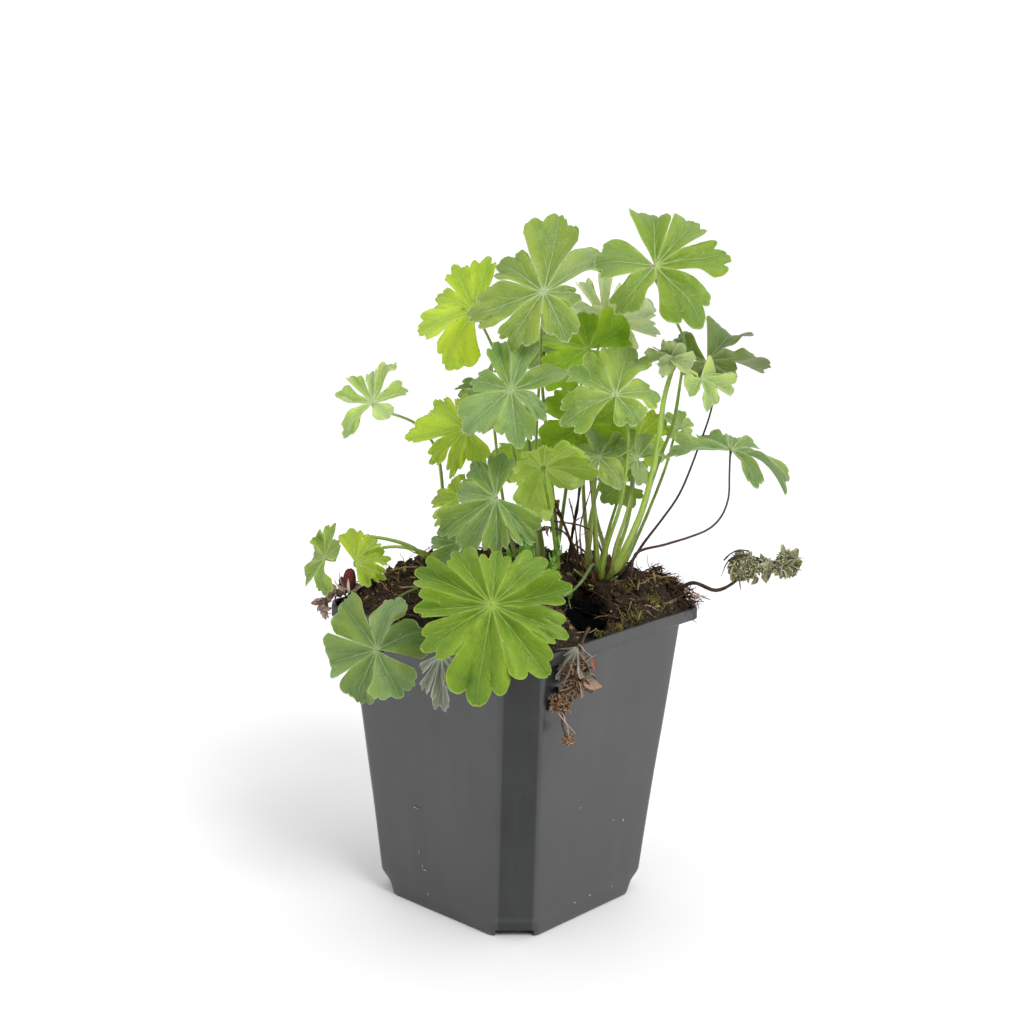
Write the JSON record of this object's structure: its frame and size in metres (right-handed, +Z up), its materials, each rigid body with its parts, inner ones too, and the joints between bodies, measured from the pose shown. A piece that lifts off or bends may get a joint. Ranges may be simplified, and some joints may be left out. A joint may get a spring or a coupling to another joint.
{
  "type": "potted hardy geranium",
  "caption": "Young hardy geranium with palmately cut, toothed leaves on long stalks and a few withered stems, standing in peat in its square grey nursery pot with cut corners.",
  "frame": {"origin": "middle of the pot's flat underside, on the ground", "axes": "+Z up, +X and +Y along the pot's square sides; the plant's fuller side faces between +X and -Y"},
  "size_m": [0.1322, 0.1395, 0.2284],
  "materials": {
    "pot_plastic": "satin",
    "peat": "matte",
    "crown_bark": "matte",
    "leaf_green": "satin",
    "leaf_yellow": "satin",
    "leaf_blue": "satin",
    "leaf_olive": "satin",
    "stem_green": "satin",
    "withered": "matte",
    "dry_brown": "matte",
    "red_brown": "matte"
  },
  "bodies": {
    "root": {"pot": "pot_plastic", "soil": "peat", "crown_main": "crown_bark", "crown_middle": "crown_bark", "crown_left": "crown_bark", "leaf_top_right": "leaf_green", "leaf_top_centre": "leaf_green", "leaf_top_left": "leaf_yellow", "leaf_left_small": "leaf_green", "leaf_mid_left": "leaf_yellow", "leaf_blue": "leaf_blue", "leaf_centre": "leaf_green", "leaf_bright_back": "leaf_green", "leaf_pale_right": "leaf_green", "leaf_narrow": "leaf_green", "leaf_dark_right": "leaf_olive", "leaf_droop_right": "leaf_blue", "leaf_olive": "leaf_olive", "leaf_underside": "leaf_yellow", "leaf_mid_dark": "leaf_blue", "leaf_front": "leaf_green", "leaf_front_left": "leaf_blue", "leaf_far_left": "leaf_green", "leaf_left_pair": "leaf_green", "leaf_left_tiny": "leaf_yellow", "leaf_left_low": "leaf_green", "leaf_mid_green": "leaf_green", "leaf_grey_small": "leaf_green", "leaf_yellow": "leaf_yellow", "leaf_dark_low": "leaf_green", "leaf_low": "leaf_green", "leaf_right_small": "leaf_green", "leaf_back_centre": "leaf_green", "leaf_back_right": "leaf_green", "leaf_back_left": "leaf_green", "leaf_back_low": "leaf_green", "shoot": "stem_green", "withered_leaf_left": "withered", "withered_leaf_right": "withered", "withered_leaf_front": "dry_brown", "dry_litter": "dry_brown", "dry_stem_1": "dry_brown", "dry_stem_2": "dry_brown", "dry_stem_3": "dry_brown", "red_bud": "red_brown"}
  },
  "joints": []
}
